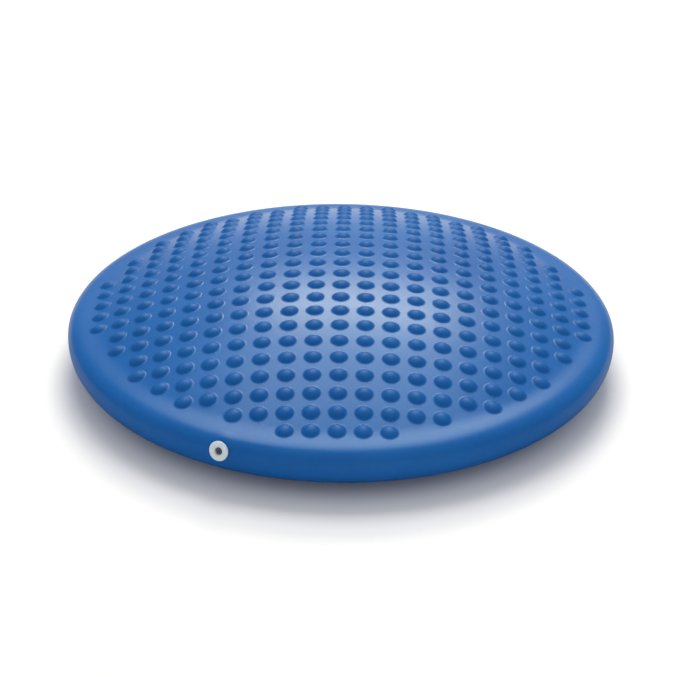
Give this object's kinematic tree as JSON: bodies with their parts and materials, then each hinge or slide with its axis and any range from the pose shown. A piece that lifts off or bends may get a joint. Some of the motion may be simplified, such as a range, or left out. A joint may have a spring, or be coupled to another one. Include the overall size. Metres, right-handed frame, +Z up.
{
  "type": "inflatable balance disc",
  "caption": "Air-filled round balance disc with a crowned nubbed top, a rounded rim that flexes so the top rocks on its flat foot, and a pull-out inflation valve in the side.",
  "frame": {"origin": "centre of the flat foot, on the ground", "axes": "+Z up through the crown; the nub grid's rows run along X and Y; the valve faces 23 degrees from -Y towards -X"},
  "size_m": [0.39, 0.39, 0.0728],
  "materials": {
    "top_skin": "satin moulded soft vinyl, mid blue",
    "side_skin": "satin moulded soft vinyl, mid blue",
    "base_skin": "matt moulded soft vinyl, mid blue",
    "valve_sleeve": "soft milky white vinyl",
    "valve_plug": "white, slightly glossy",
    "needle_core": "dark grey matt rubber"
  },
  "bodies": {
    "base": {"bottom_panel": "base_skin", "lower_sidewall": "side_skin"},
    "wall": {"upper_sidewall": "side_skin", "valve_boss": "side_skin", "valve_sleeve": "valve_sleeve"},
    "top": {"top_panel": "top_skin"},
    "plug": {"valve_plug": "valve_plug", "needle_core": "needle_core"}
  },
  "joints": [
    {"name": "rock_towards_valve", "type": "hinge", "parent": "base", "child": "wall", "pos_m": [0, 0, 0.027], "axis": [0.9205, -0.3907, 0], "range_deg": [-2.5, 2.5], "stiffness_Nm_per_rad": 60, "deforming": ["lower_sidewall"]},
    {"name": "rock_across_valve", "type": "hinge", "parent": "wall", "child": "top", "pos_m": [0, 0, 0.027], "axis": [-0.3907, -0.9205, 0], "range_deg": [-2.5, 2.5], "stiffness_Nm_per_rad": 60, "deforming": ["upper_sidewall"]},
    {"name": "plug_pull", "type": "slide", "parent": "wall", "child": "plug", "axis": [-0.3791, -0.8932, 0.2419], "range_m": [0, 0.018]}
  ]
}
